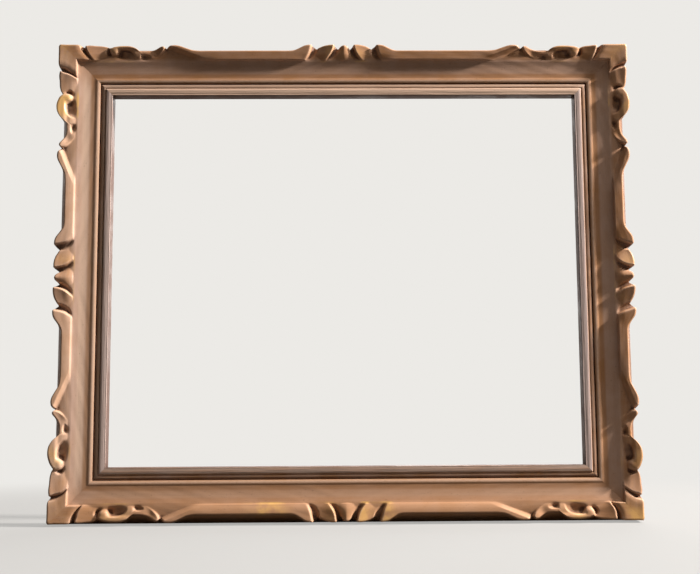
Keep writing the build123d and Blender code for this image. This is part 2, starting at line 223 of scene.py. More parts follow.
# Fan lines about the middle, as inset and distance from the middle
TONGUE_RIM = [(-3, 3.8), (3, 4.3), (10, 5.7), (16, 8.2), (21, 11.4), (24, 14.0)]
RIDGE_RIM = [(-3, 9.8), (3, 10.4), (9, 11.8), (15, 14.6), (20, 18.6), (24, 22.6)]
LOBE_END = [(-3, 28.4), (3, 28.0), (8, 27.6), (14, 29.4), (20, 34.6), (24, 39.0)]
NOSE_RIM = [(-3, 33.8), (3, 34.3), (9, 35.8), (14, 37.6), (20, 41.0), (24, 44.0)]
# Dimples, as distance from the corner, inset, radius and depth
EYE = (52.4, 12.8, 3.4, 3.2)
CURL_HOLLOW = (64.4, 14.2, 3.8, 3.0)
SCROLL_HOLLOW = (72.5, 14.6, 6.0, 2.2)
SADDLE_HOLLOW = (92.0, 17.8, 4.5, 2.0)
SADDLE_DISH = (105.5, 13.0, 6.5, 2.0)
HOLLOW_FADE = (17.0, 5.5)
# The bulb in the scroll's curl, as distance from the corner, inset and radius
BULB = (57.8, 10.6, 4.6)
# How much further from some corners the motifs were cut, by distance from the corner
MOTIF_SHIFT = {
    ("left", "top"): [(0, 0), (14, 1.5), (25, 3.6), (48, 5.3), (80, 2.5), (107, 2), (135, 0)],
    ("left", "bottom"): [(0, 0), (25, 1.4), (50, 4.5), (86, 5.5), (117, 3), (140, 0)],
    ("top", "right"): [(0, 0), (18, 2.5), (29, 4.5), (40, 2), (50, 0), (60, 0)],
    ("top", "left"): [(0, 0), (24, 0), (48, 3), (80, 1), (105, 0), (120, 0)],
}
# Widths of the gouged walls round the motifs
BLOCK_WALL = 2.0
LEAF_WALL = 1.5
SCROLL_WALL = 1.7
SADDLE_WALL = 2.6
SADDLE_END_WALL = 1.4
PLAIN_WALL = 4.2
TONGUE_WALL = 1.8
LOBE_WALL = 1.9
NOSE_WALL = 2.1
# How far the tops of the motifs lie below the front, and how they fall away from it
TOP_DROP = 0.1
FAN_DROP = 2.3
BLOCK_CUSHION = (0.9, 6.0)
LEAF_LENGTH = 23.0
LEAF_POWER = 1.7
SCROLL_CUSHION = (0.3, 1.2)
BULB_DROP = 1.2
BULB_POWER = 3
BULB_RAMP = (BULB[1] - 3, 4)
SADDLE_DROP = 1.3
SADDLE_RAMP = (95, 15)
SADDLE_END = (114, 9, 1.2)
TONGUE_DROP = 2.0
TONGUE_POWER = 1.6
LOBE_POWER = 1.3
NOSE_CUSHION = (0.3, 2.0)
# Extra depth in the gaps, its spread as a share of the gap, and the ramp where it ends
BLOCK_GAP_SINK = 0.9
FAN_GAP_SINK = 1.7
GAP_SPREAD = 0.36
GAP_FADE = (17, 5)

# Colours, as they look on the object
TAN = (188, 145, 117)
ROSE = (202, 173, 158)
GOLD_BROWN = (172, 121, 80)
GOLD = (224, 174, 104)
# Peach is rubbed gesso, and also the painted highlight and painted light
PEACH = (222, 186, 160)
BROWN = (124, 84, 56)
# Umber darkens dirt and painted shade, and dirt on bare wood
UMBER = (74, 47, 36)
DEEP = (40, 25, 20)
CREAM = (164, 140, 126)
MAUVE = (190, 174, 172)
RAW_WOOD = (176, 138, 98)
RAW_WOOD_DARK = (128, 92, 60)
BRASS = (164, 138, 92)
BRASS_DARK = (90, 72, 46)
STEEL = (150, 150, 148)
STEEL_DARK = (92, 90, 86)
PALE = (236, 234, 230)
FLOOR = (140, 138, 136)
FLOOR_BOUNCE = (64, 61, 58)

# How the paint differs from side to side: rosy and warm shares, a lighter share that is painted light on the
# left and bottom rails, and darker outer sides, partly dirt and partly painted shade
ROSY = {"top": 0.7, "bottom": 0.2, "left": 1.0, "right": 0.8}
WARM = {"top": 0.5, "bottom": 0.9, "left": 0.0, "right": 0.4}
SIDE_GRIME_AND_SHADE = {"top": 0.95, "bottom": 0.1, "left": 0.95, "right": 0.95}
RAIL_PAINTED_LIGHT = {"top": 0.0, "bottom": 0.12, "left": 0.4, "right": 0.0}
RIDGE_PAINTED_HIGHLIGHT = {"top": 0.0, "bottom": 0.1, "left": 0.55, "right": 0.0}
# The same for the liner: a lighter share that is painted light, a cool share, and a painted shadow line at
# the foot of the lip
LINER_PAINTED_LIGHT = {"top": 0.75, "bottom": 0.0, "left": 0.4, "right": 0.15}
LINER_COOL = {"top": 0.0, "bottom": 0.0, "left": 0.5, "right": 0.5}
LIP_SHADOW_LINE = {"top": 0.35, "bottom": 0.3, "left": 0.9, "right": 0.6}
LIP_SHADOW_SPREAD = 0.6
# Dark line in the groove at the liner's joint, partly painted shade, and its spread
STRIP_LINE = 0.8
STRIP_LINE_SPREAD = 0.5
LIP_RAMP = (STRIP[1] + 0.4, 0.6)
# Painted shade on the inner bevel: its top, fade and inset
SHADED_BEVEL_TOP = LIP_CORNER[1] + 0.4
SHADED_BEVEL_FADE = 0.8
SHADED_BEVEL_INSET = LIP_CORNER[0] - 0.5
# Shares that all sides have at the mitres, the third of them painted light, and the ramp to a side's own
MITRE_ROSY = 0.5
MITRE_WARM = 0.4
MITRE_PAINTED_LIGHT = 0.4
MITRE_FADE = (0.0, 30.0)
# Paint across the moulding: ramps and bells by inset
FRONT_END = (GROUND_EDGE, 2.0)
COVE_START = (19, 3)
COVE_END = (26, 3)
ROSE_START = (18, 5)
ROSE_END = (34, 3)
HOLLOW_START = (34, 2.5)
HOLLOW_END = (40, 1.2)
# Painted highlight along the ridge
RIDGE_HIGHLIGHT_BELL = (31, 3.5)
BEAD_BELL = (43.4, 1.6)
# Paint along the moulding: the leaf from the corner, the fan from the middle
LEAF_BELL = (40, 13)
FAN_REACH = 34
FAN_POWER = 4
# Paint: rubbing on the heights and along the bead, on the bead partly a painted highlight; dirt and painted
# shade in the depths; and what the hollow and the carving change in warmth and painted light
RELIEF_ROUNDS = 24
WORN_HEIGHT = 0.7
BEAD_WEAR_AND_HIGHLIGHT = 1.7
CREVICE_DEPTH = 0.8
CREVICE_SHADE_AND_GRIME = 0.75
GROUND_SHADE_AND_GRIME = 0.2
GAP_SHADE_AND_GRIME = 0.4
HOLLOW_WARM = 0.85
HOLLOW_PAINTED_LIGHT_LOSS = 0.3
CARVED_PAINTED_LIGHT_LOSS = 0.55
# Where gold shows a little on every side: bells from the corner or from the middle
GOLD_SHARE = 0.4
GOLD_BLOCK = (6, 16)
GOLD_SCROLL = (68, 15)
GOLD_LOBES = (16, 14)
# Where gold shows most: place along the rail from its middle, spread and strength
GOLD_SPOTS = {
    "top": [(255, 14, 0.5), (-300, 12, 0.5)],
    "bottom": [
        (-80, 17, 0.9), (20, 9, 1.0), (41, 8, 0.7), (298, 12, 0.8), (236, 14, 0.6), (-232, 14, 0.5),
    ],
    "left": [(-187, 15, 1.2), (-248, 10, 0.4), (187, 15, 0.6), (-18, 10, 0.5)],
    "right": [(187, 16, 0.5), (-187, 14, 0.4), (20, 12, 0.5), (-248, 10, 0.7)],
}

# Materials: stretches of the noise, in waves to the metre
STREAK_STRETCH = (18.0, 420.0, 1.0)
FINE_STRETCH = (260.0, 900.0, 1.0)
GRAIN_STRETCH = (14.0, 520.0, 520.0)
PORE_STRETCH = (120.0, 2600.0, 2600.0)
SCRATCH_STRETCH = (300.0, 300.0, 4200.0)
# Materials: shine, gold, tarnish, and depth of the bumps in metres
PAINT_SHINE = 0.16
GOLD_TRACE = 0.05
GOLD_METAL = 0.2
TARNISH_ROUGH = 0.25
BUMP_DEPTH = 0.0005
SCRATCH_DEPTH = 0.0002

# Stage, in metres
FLOOR_REACH = 6.0
FLOOR_GAP = 0.0002
FLOOR_GLOW = 0.5
FLOOR_FADE = (0.45, 1.1)
AMBIENT = 0.04
KEY_COLOUR = (1.0, 0.985, 0.96)
FILL_COLOUR = (1.0, 0.99, 0.97)
SEEN_RAYS = ("Is Camera Ray", "Is Glossy Ray", "Is Transmission Ray")

# Camera, set as the photograph was taken, with its turn in degrees
CAMERA_PLACE = (-0.0124, -1.1878, -0.1535)
CAMERA_TURN = (97.011, 0.346, -0.814)
SENSOR_WIDTH = 36.0
LENS = 57.17


# Smooth changes

def soft_step(value):
    value = np.clip(value, 0, 1)
    return value * value * (3 - 2 * value)


def ramp(value, start, length):
    """Smooth rise from 0 at the start to 1 after the length."""
    return soft_step((value - start) / length)


def band(value, rise, fall):
    """Smooth rise over the first ramp and fall over the second."""
    return ramp(value, *rise) * (1 - ramp(value, *fall))


def bell(value, middle, spread):
    """Smooth hump, 1 at its middle."""
    return np.exp(-((value - middle) / spread) ** 2)


# Curves in the section

def arc_height(inset, start, end, rise):
    """Height at an inset on the arc from start to end that stands rise above its chord."""
    chord = math.dist(start, end)
    radius = chord ** 2 / (8 * abs(rise)) + abs(rise) / 2
    away = (rise - math.copysign(radius, rise)) / chord
    centre_inset = (start[0] + end[0]) / 2 - (end[1] - start[1]) * away
    centre_height = (start[1] + end[1]) / 2 + (end[0] - start[0]) * away
    reach = np.sqrt(np.maximum(radius ** 2 - (inset - centre_inset) ** 2, 0))
    return centre_height + math.copysign(1, rise) * reach


def front_height(inset):
    """Height of the front, which falls gently inward to the crest and past it."""
    return CREST[1] + FRONT_SLOPE * (CREST[0] - inset)


def full_height(inset):
    """Height of the uncarved rail: front, step at the crest, cove, hollow and bead."""
    front = front_height(inset)
    below_crest = (CREST[0], CREST[1] - CREST_STEP)
    cove = arc_height(np.clip(inset, CREST[0], RIDGE[0]), below_crest, RIDGE, -COVE_SAG)
    cove = cove + CREST_STEP * (1 - ramp(inset, *STEP_RAMP))
    hollow = arc_height(np.clip(inset, RIDGE[0], BEAD_START[0]), RIDGE, BEAD_START, -HOLLOW_SAG)
    bead = arc_height(np.clip(inset, BEAD_START[0], BEAD_END[0]), BEAD_START, BEAD_END, BEAD_RISE)
    inner = np.where(inset < RIDGE[0], cove, np.where(inset < BEAD_START[0], hollow, bead))
    return np.where(inset < CREST[0], front, inner)


def rolled_height(inset):
    """Height of the front where its crest is rolled down to the edge of the sunk ground."""
    end = np.array(GROUND_EDGE)
    drop = front_height(end) - full_height(end)
    roll = np.clip((inset - ROLL_START) / (GROUND_EDGE - ROLL_START), 0, 1)
    return np.minimum(front_height(inset) - drop * roll ** 2, full_height(inset))


def ground_height(inset):
    """Height of the sunk ground, which meets the cove at its inner edge."""
    start = (SETBACK, float(full_height(np.array(SETBACK))) - GROUND_SINK)
    end = (GROUND_EDGE, float(full_height(np.array(GROUND_EDGE))))
    arc = arc_height(np.clip(inset, SETBACK, GROUND_EDGE), start, end, GROUND_BULGE)
    ground = np.where(inset < SETBACK, start[1] - GROUND_FALL * (SETBACK - inset), arc)
    return np.where(inset < GROUND_EDGE, np.minimum(ground, full_height(inset)), full_height(inset))


# Curves in plan

def through(points, at):
    """Smooth curve through the points, read at the first coordinate."""
    known = np.array([p[0] for p in points], float)
    value = np.array([p[1] for p in points], float)
    slope = np.gradient(value, known)
    at = np.clip(at, known[0], known[-1])
    left = np.clip(np.searchsorted(known, at) - 1, 0, len(known) - 2)
    span = known[left + 1] - known[left]
    t = (at - known[left]) / span
    start = (1 + 2 * t) * (1 - t) ** 2 * value[left] + t * (1 - t) ** 2 * span * slope[left]
    end = t * t * (3 - 2 * t) * value[left + 1] - t * t * (1 - t) * span * slope[left + 1]
    return start + end


def closed_curve(points, steps=6):
    """Smooth closed outline through the points."""
    p = np.array(points, float)
    before = np.roll(p, 1, axis=0)
    after = np.roll(p, -1, axis=0)
    beyond = np.roll(p, -2, axis=0)
    parts = []
    for t in np.arange(steps) / steps:
        middle = 2 * p + (after - before) * t
        bend = (2 * before - 5 * p + 4 * after - beyond) * t ** 2
        twist = (3 * p - before - 3 * after + beyond) * t ** 3
        parts.append((middle + bend + twist) / 2)
    return np.stack(parts, axis=1).reshape(-1, 2)


def depth_inside(along, inset, outline):
    """Distance to the outline, positive inside it."""
    loop = closed_curve(outline)
    nearest = np.full(along.shape, FAR_AWAY)
    inside = np.zeros(along.shape, bool)
    for (ax, ay), (bx, by) in zip(loop, np.roll(loop, -1, axis=0)):
        length = max((bx - ax) ** 2 + (by - ay) ** 2, TINY)
        t = np.clip(((along - ax) * (bx - ax) + (inset - ay) * (by - ay)) / length, 0, 1)
        nearest = np.minimum(nearest, np.hypot(along - ax - t * (bx - ax), inset - ay - t * (by - ay)))
        crosses = (ay > inset) != (by > inset)
        turn = ax + (inset - ay) / np.where(by == ay, TINY, by - ay) * (bx - ax)
        inside ^= crosses & (along < turn)
    return np.where(inside, nearest, -nearest)


def scoop(depth, width):
    """Rise of a gouged wall: 1 inside an outline, falling in a hollow curve outside it."""
    return (1 - np.clip(-depth / width, 0, 1)) ** 2


def cushion(depth, drop, width):
    """Fall of a rounded edge: the drop at the outline, and 0 deeper in than the width."""
    return drop * (1 - np.clip(depth / width, 0, 1)) ** 2


def dimple(along, inset, place):
    centre, across, radius, deep = place
    return deep * np.exp(-((along - centre) ** 2 + (inset - across) ** 2) / radius ** 2)


# The carving: each motif gives its rise from the ground and how far its top lies below the front

def fan_fall(fall, power):
    """Fall of a leaf or lobe away from its ridge, steep at first."""
    return TOP_DROP + FAN_DROP * (1 - (1 - fall) ** power)


def bulb_fall(along, inset):
    """Fall of the scroll's curl away from the top of its bulb."""
    ball = np.hypot(along - BULB[0], inset - BULB[1]) / BULB[2]
    return BULB_DROP * np.clip(ball, 0, 1) ** BULB_POWER * ramp(inset, *BULB_RAMP)


def corner_motifs(along, inset):
    block_rim = through(BLOCK_RIM, inset) - along
    yield scoop(block_rim, BLOCK_WALL), cushion(block_rim, *BLOCK_CUSHION)

    leaf = depth_inside(along, inset, LEAF)
    fall = np.clip((along - through(LEAF_RIM, inset)) / LEAF_LENGTH, 0, 1)
    yield scoop(leaf, LEAF_WALL), fan_fall(fall, LEAF_POWER)

    scroll = depth_inside(along, inset, SCROLL)
    yield scoop(scroll, SCROLL_WALL), TOP_DROP + cushion(scroll, *SCROLL_CUSHION) + bulb_fall(along, inset)

    saddle = depth_inside(along, inset, SADDLE)
    end_along, end_inset, end_slant = SADDLE_END
    beside_triangle = along > end_along - (inset - end_inset) * end_slant
    wall = np.where(beside_triangle, SADDLE_END_WALL, SADDLE_WALL)
    low = 1 - ramp(along, *SADDLE_RAMP)
    yield scoop(saddle, wall), TOP_DROP + SADDLE_DROP * low + dimple(along, inset, SADDLE_DISH)

    plain = depth_inside(along, inset, PLAIN)
    yield np.clip(plain / PLAIN_WALL, 0, 1), 0 * plain


def middle_motifs(from_middle, inset):
    half = through(TONGUE_RIM, inset)
    fall = (from_middle / half) ** TONGUE_POWER
    yield scoop(half - from_middle, TONGUE_WALL), TOP_DROP + TONGUE_DROP * fall

    ridge = through(RIDGE_RIM, inset)
    end = through(LOBE_END, inset)
    lobe = np.minimum(from_middle - ridge, end - from_middle)
    fall = np.clip((from_middle - ridge) / (end - ridge), 0, 1)
    yield scoop(lobe, LOBE_WALL), fan_fall(fall, LOBE_POWER)

    nose = from_middle - through(NOSE_RIM, inset)
    yield scoop(nose, NOSE_WALL), cushion(nose, *NOSE_CUSHION)


def gaps(along, from_middle, inset):
    """Extra depth of the gaps beside the corner block, beside the tongue and behind each lobe."""
    pairs = [
        (along, BLOCK_RIM, LEAF_RIM, BLOCK_GAP_SINK),
        (from_middle, TONGUE_RIM, RIDGE_RIM, FAN_GAP_SINK),
        (from_middle, LOBE_END, NOSE_RIM, FAN_GAP_SINK),
    ]
    deep = 0 * along
    for place, first, second, sink in pairs:
        start = through(first, inset)
        end = through(second, inset)
        deep = np.maximum(deep, sink * bell(place, (start + end) / 2, GAP_SPREAD * (end - start)))
    return deep * (1 - ramp(inset, *GAP_FADE))


def motif_place(along, side, end):
    """Distance from the corner in the carver's pattern, at a true distance from it."""
    shift = MOTIF_SHIFT.get((side, end))
    return along - through(shift, along) if shift else along


def rounded_front(along, from_middle, inset, side):
    """Height of the uncut front, its crest rolled down about the carving and on some sides."""
    past_block = ramp(along, *PAST_BLOCK)
    at_corner = past_block * (1 - ramp(along, *PAST_CORNER))
    at_middle = 1 - ramp(from_middle, *PAST_FAN)
    rolled = np.maximum(np.maximum(at_corner, at_middle), ROLLED[side] * past_block)
    full = full_height(inset)
    return full + rolled * (rolled_height(inset) - full) * (inset < GROUND_EDGE)


def sunk_ground(along, from_middle, inset, full):
    """Height of the ground with its dimples and gaps, run out to the front on the plain stretch."""
    ground = ground_height(inset)
    for hollow in (EYE, CURL_HOLLOW, SCROLL_HOLLOW, SADDLE_HOLLOW):
        ground = ground - dimple(along, inset, hollow) * (1 - ramp(inset, *HOLLOW_FADE))
    ground = ground - gaps(along, from_middle, inset)
    run_out = ramp(along, *RUN_OUT)
    return ground + (full - ground) * RUN_OUT_SHARE * run_out * ramp(from_middle, *FAN_CLEAR)


def carved_height(true_along, inset, half_length, side, end):
    """Height of the carved front at a distance from the corner, for half a rail."""
    along = motif_place(true_along, side, end)
    from_middle = half_length - true_along
    full = rounded_front(along, from_middle, inset, side)
    ground = sunk_ground(along, from_middle, inset, full)
    height = ground
    nearer_middle = from_middle < MIDDLE_REACH
    for rise, fall in corner_motifs(along, inset):
        height = np.maximum(height, ground + rise * (full - fall - ground) * ~nearer_middle)
    for rise, fall in middle_motifs(from_middle, inset):
        height = np.maximum(height, ground + rise * (full - fall - ground) * nearer_middle)
    return np.where(inset < GROUND_EDGE + GROUND_OVERLAP, height, full)


def outer_edge(along, half_length, side, end):
    """Inset of the outer edge of the front at a distance from the corner with the side named end."""
    from_middle = half_length - along
    place = motif_place(along, side, end)
    nearer_middle = from_middle < MIDDLE_REACH
    edge = np.where(nearer_middle, through(MIDDLE_EDGE, from_middle), through(CORNER_EDGE, place))
    carved = CARVED_INSET[side]
    corner = 0
    if side in UPRIGHT:
        edge = edge - SCROLL_OUT * bell(place, *SCROLL_BELL)
        turn = np.clip((CARVED_INSET[end] + CORNER_ROUND - along) / CORNER_ROUND, 0, 1)
        corner = CORNER_ROUND * (1 - np.sqrt(1 - turn ** 2))
    return carved + (SETBACK - carved) * edge / PLAIN_EDGE + corner


# Rows and columns of the rails

def columns(half_length):
    """Places of the mesh columns along half a rail: close in the carving, wide on the plain stretch."""
    corner = np.arange(0, CORNER_ZONE, FINE_STEP)
    middle = half_length - np.arange(0, MIDDLE_ZONE, FINE_STEP)[::-1]
    count = max(int((middle[0] - corner[-1]) / PLAIN_STEP), 1)
    plain = np.linspace(corner[-1], middle[0], count + 1)[1:-1]
    return np.concatenate([corner, plain, middle])


def inner_rows():
    """Insets of the rows from the crest to the end of the bead."""
    step = np.linspace(CREST[0], GROUND_EDGE, STEP_ROWS)[1:]
    cove = np.linspace(GROUND_EDGE, RIDGE[0], COVE_ROWS)[1:]
    hollow = np.linspace(RIDGE[0], BEAD_START[0], HOLLOW_ROWS)[1:]
    half_bead = (BEAD_END[0] - BEAD_START[0]) / 2
    bead = BEAD_START[0] + half_bead * (1 - np.cos(np.linspace(0, math.pi, BEAD_ROWS)[1:]))
    return np.concatenate([step, cove, hollow, bead])


def wobble(along, seed):
    """Slow irregularity of hand work, about one in size."""
    slow = np.sin(along / LONG_WAVE + LONG_PHASE * seed)
    quick = np.sin(along / SHORT_WAVE + SHORT_PHASE * seed)
    return (slow + SHORT_SHARE * quick) / (1 + SHORT_SHARE)


def blurred(height, rounds):
    """Height field averaged, round by round, with its neighbours along and across the rail."""
    for _ in range(rounds):
        padded = np.pad(height, 1, mode="edge")
        along = padded[:-2, 1:-1] + padded[2:, 1:-1]
        across = padded[1:-1, :-2] + padded[1:-1, 2:]
        height = OWN_SHARE * height + (1 - OWN_SHARE) / NEIGHBOURS * (along + across)
    return height


def edge_on_columns(start, half_length, side, end):
    """Inset at which each slanting mesh column meets the outer edge, by halving."""
    low = 0 * start
    high = low + CREST[0]
    for _ in range(HALVINGS):
        middle = (low + high) / 2
        short = middle < outer_edge(start + middle * (1 - start / half_length), half_length, side, end)
        low = np.where(short, middle, low)
        high = np.where(short, high, middle)
    return (low + high) / 2


def half_rail(length, seed, side, end):
    """Place along, inset and height of the front's rows, from a rail's corner to its middle."""
    half = length / 2
    start = columns(half)
    edge = edge_on_columns(start, half, side, end)[:, None]
    front = edge + (CREST[0] - edge) * np.linspace(0, 1, FRONT_ROWS)
    inset = np.concatenate([front, np.tile(inner_rows(), (len(start), 1))], axis=1)
    along = start[:, None] + inset * (1 - start[:, None] / half)
    away = soft_step(np.minimum(along - STEADY_CORNER, half - along) / STEADY_RUN)
    shifted = along + SHIFT * wobble(along + SHIFT_SLANT * inset, seed) * away
    drift = DRIFT * wobble(along, seed + DRIFT_SEED) * away * (inset < CREST[0])
    height = carved_height(shifted, inset + drift, half, side, end)
    turn = np.clip(1 - (inset - edge) / EDGE_ROUND, 0, 1)
    carved = blurred(height, CARVED_ROUNDS) - EDGE_ROUND * (1 - np.sqrt(1 - turn ** 2))
    ripple = wobble(along * RIPPLE_PACE + RIPPLE_SLANT * inset, seed + RIPPLE_SEED)
    carved += RIPPLE * ripple * away * (inset < BEAD_START[0])
    nearer = -BLOCK_BLEND * np.logaddexp(-inset / BLOCK_BLEND, -along / BLOCK_BLEND)
    carved += FRONT_SLOPE * (inset - nearer) * (1 - ramp(inset, *STEP_RAMP))
    return along, inset, np.where(inset < BEAD_START[0] - BEAD_MARGIN, carved, height)


def whole_rail(length, seed, side):
    """Front rows over the whole rail, with places along it from the rail's middle."""
    left = half_rail(length, seed, side, ENDS[side][0])
    right = half_rail(length, seed + HALF_SEED, side, ENDS[side][1])
    along = np.concatenate([left[0] - length / 2, (length / 2 - right[0])[::-1][1:]])
    inset = np.concatenate([left[1], right[1][::-1][1:]])
    height = np.concatenate([left[2], right[2][::-1][1:]])
    return along, inset, height


def mitred(lead, base, inset, half):
    """Place along a rail of points at an inset, on the columns that start at base from the corner."""
    return np.where(lead < 0, -1.0, 1.0) * (half - base - inset * (1 - base / half))


def outer_side(edge, top, foot):
    """Insets and heights of the rows from the back, over the bevel, to the edge of the front."""
    slope = np.linspace(0, 1, SIDE_ROWS)[:-1]
    inset = np.concatenate([foot + BEVEL, foot, foot + (edge - foot) * slope], axis=1)
    rise = FOOT_HEIGHT + (top - FOOT_HEIGHT) * slope
    height = np.concatenate([0 * foot, 0 * foot + BEVEL, rise], axis=1)
    return inset, height


def rabbet_rows(count):
    """Insets and heights of the rows from the bead round the rabbet to the back."""
    rabbet = np.array([
        (RAIL_WIDTH, BEAD_END[1] - BEAD_DROP), (RAIL_WIDTH, RABBET_HEIGHT + BEVEL),
        (RAIL_WIDTH - BEVEL, RABBET_HEIGHT), (RABBET_INSET + BEVEL, RABBET_HEIGHT),
        (RABBET_INSET, RABBET_HEIGHT - BEVEL), (RABBET_INSET, BEVEL), (RABBET_INSET - BEVEL, 0),
    ])
    return np.tile(rabbet[:, 0], (count, 1)), np.tile(rabbet[:, 1], (count, 1))


# Meshes of the mitred bars

def rounded_corner(along, inset, half_length):
    """Draws points near the outer corner in to its round, from the round's centre."""
    from_corner = half_length - np.abs(along)
    across = CORNER_ROUND - from_corner
    deep = CORNER_ROUND - inset
    reach = np.hypot(across, deep)
    outside = (across > 0) & (deep > 0) & (reach > CORNER_ROUND)
    share = np.where(outside, CORNER_ROUND / np.maximum(reach, TINY), 1)
    moved = half_length - CORNER_ROUND + across * share
    along = np.where(outside, np.sign(along) * moved, along)
    inset = np.where(outside, CORNER_ROUND - deep * share, inset)
    return along, inset


def bar_points(side, along, inset, height):
    """Points of a bar's rows in the part's own frame, in metres."""
    origin, along_dir, inward = (np.array(v, float) for v in SIDES[side])
    points = origin + along[..., None] * along_dir + inset[..., None] * inward + height[..., None] * FORWARD
    return (points / METRE).reshape(-1, 3)


def bar_faces(columns_count, rows_count):
    """Faces round and along a bar, then its two ends."""
    index = np.arange(columns_count * rows_count).reshape(columns_count, rows_count)
    ahead = np.roll(index, -1, axis=1)
    quads = np.stack([index[:-1], index[1:], ahead[1:], ahead[:-1]], axis=-1).reshape(-1, 4)
    return quads.tolist() + [index[0].tolist(), index[-1][::-1].tolist()]


def bar_run(along, inset, height):
    """Place along a bar and round its section, in metres, for grain and streaks."""
    across = np.diff(inset[0], prepend=inset[0, 0])
    up = np.diff(height[0], prepend=height[0, 0])
    girth = np.cumsum(np.hypot(across, up))
    return np.stack([along, np.tile(girth, (len(along), 1)), np.zeros_like(along)], axis=-1) / METRE


def swept_mesh(name, side, along, inset, height, first_bare, attributes):
    """Closed mesh of a mitred bar; its first row and those from first_bare on are bare wood."""
    along, inset = rounded_corner(along, inset, SPANS[side] / 2)
    columns_count, rows_count = along.shape
    faces = bar_faces(columns_count, rows_count)
    mesh = bpy.data.meshes.new(name)
    mesh.from_pydata(bar_points(side, along, inset, height).tolist(), [], faces)
    row_of_face = np.tile(np.arange(rows_count), columns_count - 1)
    bare = (row_of_face >= first_bare) | (row_of_face < 1)
    slots = np.concatenate([bare.astype(np.int32), np.ones(2, np.int32)])
    mesh.polygons.foreach_set("material_index", slots)
    mesh.polygons.foreach_set("use_smooth", np.ones(len(faces), bool))
    layer = mesh.attributes.new("along", "FLOAT_VECTOR", "POINT")
    layer.data.foreach_set("vector", bar_run(along, inset, height).reshape(-1).astype(np.float32))
    for key, values in attributes.items():
        layer = mesh.attributes.new(key, "FLOAT", "POINT")
        layer.data.foreach_set("value", values.reshape(-1).astype(np.float32))
    mesh.set_sharp_from_angle(angle=math.radians(SHARP_ANGLE))
    mesh.validate()
    piece = bpy.data.objects.new(name, mesh)
    bpy.context.scene.collection.objects.link(piece)
    return piece


# Rails

def gold_weight(along, from_corner, side):
    """Where gold shows: a little on blocks, scrolls and lobes, more in the gold spots."""
    block = bell(np.maximum(from_corner, GOLD_BLOCK[0]), *GOLD_BLOCK)
    scroll = bell(from_corner, *GOLD_SCROLL)
    lobes = bell(np.abs(along), *GOLD_LOBES)
    weight = GOLD_SHARE * np.maximum(np.maximum(block, scroll), lobes)
    for place, spread, strength in GOLD_SPOTS[side]:
        weight = np.maximum(weight, strength * bell(along, place, spread))
    return weight


def toward_own(shared, own_value, own):
    """Value that goes from the one shared at the mitres to a side's own."""
    return shared + (own_value - shared) * own


def rail_tones(along, inset, height, side):
    """Where a rail's front is rubbed (on the bead partly a painted highlight), darkened by dirt and painted
    shade, golden, rosy, warm, lit by painted light, or brown.
    """
    high = height - blurred(height, RELIEF_ROUNDS)
    below = (full_height(inset) - height) / GROUND_SINK
    depth = np.clip(below, 0, 1)
    on_front = 1 - ramp(inset, *FRONT_END)
    hollow = band(inset, HOLLOW_START, HOLLOW_END)
    from_corner = SPANS[side] / 2 - np.abs(along)
    own = ramp(from_corner - inset, *MITRE_FADE)
    # Painted shade with some dirt: darker in the crevices, on the sunk ground and in the deep gaps
    crevice_shade = CREVICE_SHADE_AND_GRIME * np.clip(-high / CREVICE_DEPTH, 0, 1) * on_front
    grime_and_shade = crevice_shade + GROUND_SHADE_AND_GRIME * depth + GAP_SHADE_AND_GRIME * np.clip(below - 1, 0, 1)
    fan = np.exp(-(along / FAN_REACH) ** FAN_POWER)
    carved = np.maximum(bell(from_corner, *LEAF_BELL), fan) * on_front
    # Painted light: a lighter share laid on the sides that face the lamp, less in the carving and the hollow
    pale = RAIL_PAINTED_LIGHT[side] * toward_own(MITRE_PAINTED_LIGHT, 1, own) * (1 - band(inset, COVE_START, COVE_END))
    pale = pale * (1 - CARVED_PAINTED_LIGHT_LOSS * carved) * (1 - HOLLOW_PAINTED_LIGHT_LOSS * hollow)
    return {
        # Rubbed on the high points and along the whole bead; the bead's share is partly a painted highlight
        "wear": np.clip(high / WORN_HEIGHT, 0, 1) * on_front + BEAD_WEAR_AND_HIGHLIGHT * bell(inset, *BEAD_BELL),
        "cavity": np.clip(grime_and_shade, 0, 1),
        "gold": gold_weight(along, from_corner, side) * (inset < GROUND_EDGE) * (1 - depth),
        "rose": toward_own(MITRE_ROSY, ROSY[side], own) * band(inset, ROSE_START, ROSE_END),
        "warm": np.maximum(toward_own(MITRE_WARM, WARM[side], own), HOLLOW_WARM * hollow),
        # Painted highlight along the ridge, on the left and bottom rails
        "pale": pale + RIDGE_PAINTED_HIGHLIGHT[side] * bell(inset, *RIDGE_HIGHLIGHT_BELL) * own,
        "brown": hollow,
    }


def rail_piece(side, seed):
    """One carved rail: its back edge, sloping outer side, carved front, bead and rabbet."""
    length = SPANS[side]
    half = length / 2
    along, inset, height = whole_rail(length, seed, side)
    lead = along[:, :1]
    edge = inset[:, :1]
    base = (half - np.abs(lead) - edge) / (1 - edge / half)
    foot = toward_own(FOOT_INSET["bottom"], FOOT_INSET[side], ramp(base, *FOOT_RAMP))
    side_inset, side_height = outer_side(edge, height[:, :1], foot)
    back_inset, back_height = rabbet_rows(len(along))
    outer = (mitred(lead, base, side_inset, half), side_inset, side_height)
    inner = (mitred(lead, base, back_inset, half), back_inset, back_height)
    rows = [np.concatenate(parts, axis=1) for parts in zip(outer, (along, inset, height), inner)]
    before = side_inset.shape[1]
    layers = rail_tones(along, inset, height, side)
    # Outer sides: darker paint, partly dirt and partly painted shade, least on the bottom
    side_tones = {"cavity": SIDE_GRIME_AND_SHADE[side], "warm": WARM[side]}
    for key, values in layers.items():
        first = np.full((len(along), before), side_tones.get(key, 0.0))
        layers[key] = np.concatenate([first, values, 0 * back_inset], axis=1)
    piece = swept_mesh(f"carved_{side}", side, *rows, before + along.shape[1] + 1, layers)
    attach(piece, "frame")
    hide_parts(f"{side}_rail")
    return piece


# Liner strips

